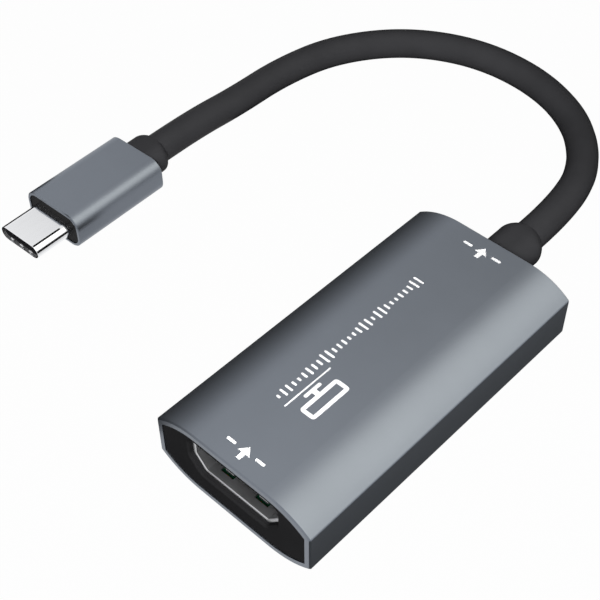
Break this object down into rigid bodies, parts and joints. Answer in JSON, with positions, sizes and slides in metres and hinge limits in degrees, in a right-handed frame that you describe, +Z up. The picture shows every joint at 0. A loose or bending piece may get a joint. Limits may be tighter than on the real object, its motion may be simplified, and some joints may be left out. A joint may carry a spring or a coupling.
{
  "type": "video capture box",
  "caption": "Flat grey aluminium video capture box with a full-size video socket in one end and a short captive cable to a small flat data plug.",
  "frame": {"origin": "middle of the box's footprint, on the surface that it lies on; the cable and its plug are left out of that footprint", "axes": "+Y from the input face to the cable end, +X across the box away from the plug, +Z up"},
  "size_m": [0.0754, 0.0977, 0.0111],
  "materials": {
    "anodised_grey": "blue-grey anodised aluminium, satin",
    "bezel_black": "black moulded plastic, matt",
    "nickel_shell": "bright nickel plate",
    "steel_shell": "tin-plated steel sheet",
    "insulator_black": "black glass-filled plastic",
    "gold_contact": "gold flash over copper alloy",
    "board_green": "green solder mask on glass-epoxy",
    "chip_black": "black epoxy package",
    "package_black": "black epoxy package with tinned leads",
    "crystal_metal": "nickel-plated lid on a ceramic base",
    "ferrite_grey": "grey ferrite",
    "capacitor_tan": "tan ceramic with tinned ends",
    "resistor_black": "black film on ceramic with tinned ends",
    "pad_grey": "soft grey silicone",
    "film_amber": "amber insulating film",
    "cable_black": "black soft jacket, satin",
    "relief_black": "black moulded strain relief, matt",
    "core_screen": "foil and braid screen",
    "crimp_copper": "crimped copper ring",
    "wire_white": "insulated wire",
    "mould_black": "black moulding compound"
  },
  "bodies": {
    "root": {"housing_sleeve": "anodised_grey", "input_bezel": "bezel_black", "output_bezel": "bezel_black", "socket_shell": "steel_shell", "socket_insulator": "insulator_black", "socket_contacts": "gold_contact", "main_board": "board_green", "capture_chip": "chip_black", "thermal_pad": "pad_grey", "flash_memory": "package_black", "voltage_regulators": "package_black", "crystal": "crystal_metal", "power_inductor": "ferrite_grey", "ceramic_capacitors": "capacitor_tan", "chip_resistors": "resistor_black", "esd_arrays": "chip_black", "insulating_sheet": "film_amber", "box_strain_relief": "relief_black", "box_cable_core": "core_screen", "box_crimp_ring": "crimp_copper", "box_wires": "wire_white", "cable": "cable_black", "plug_shell": "nickel_shell", "plug_contacts_upper": "gold_contact", "plug_contacts_lower": "gold_contact", "plug_latch_spring": "steel_shell", "plug_shield_springs": "nickel_shell", "plug_insulator": "insulator_black", "plug_sleeve": "anodised_grey", "plug_board": "board_green", "plug_board_parts": "chip_black", "plug_inner_mould": "mould_black", "plug_strain_relief": "relief_black", "plug_cable_core": "core_screen", "plug_wires": "wire_white"}
  },
  "joints": []
}
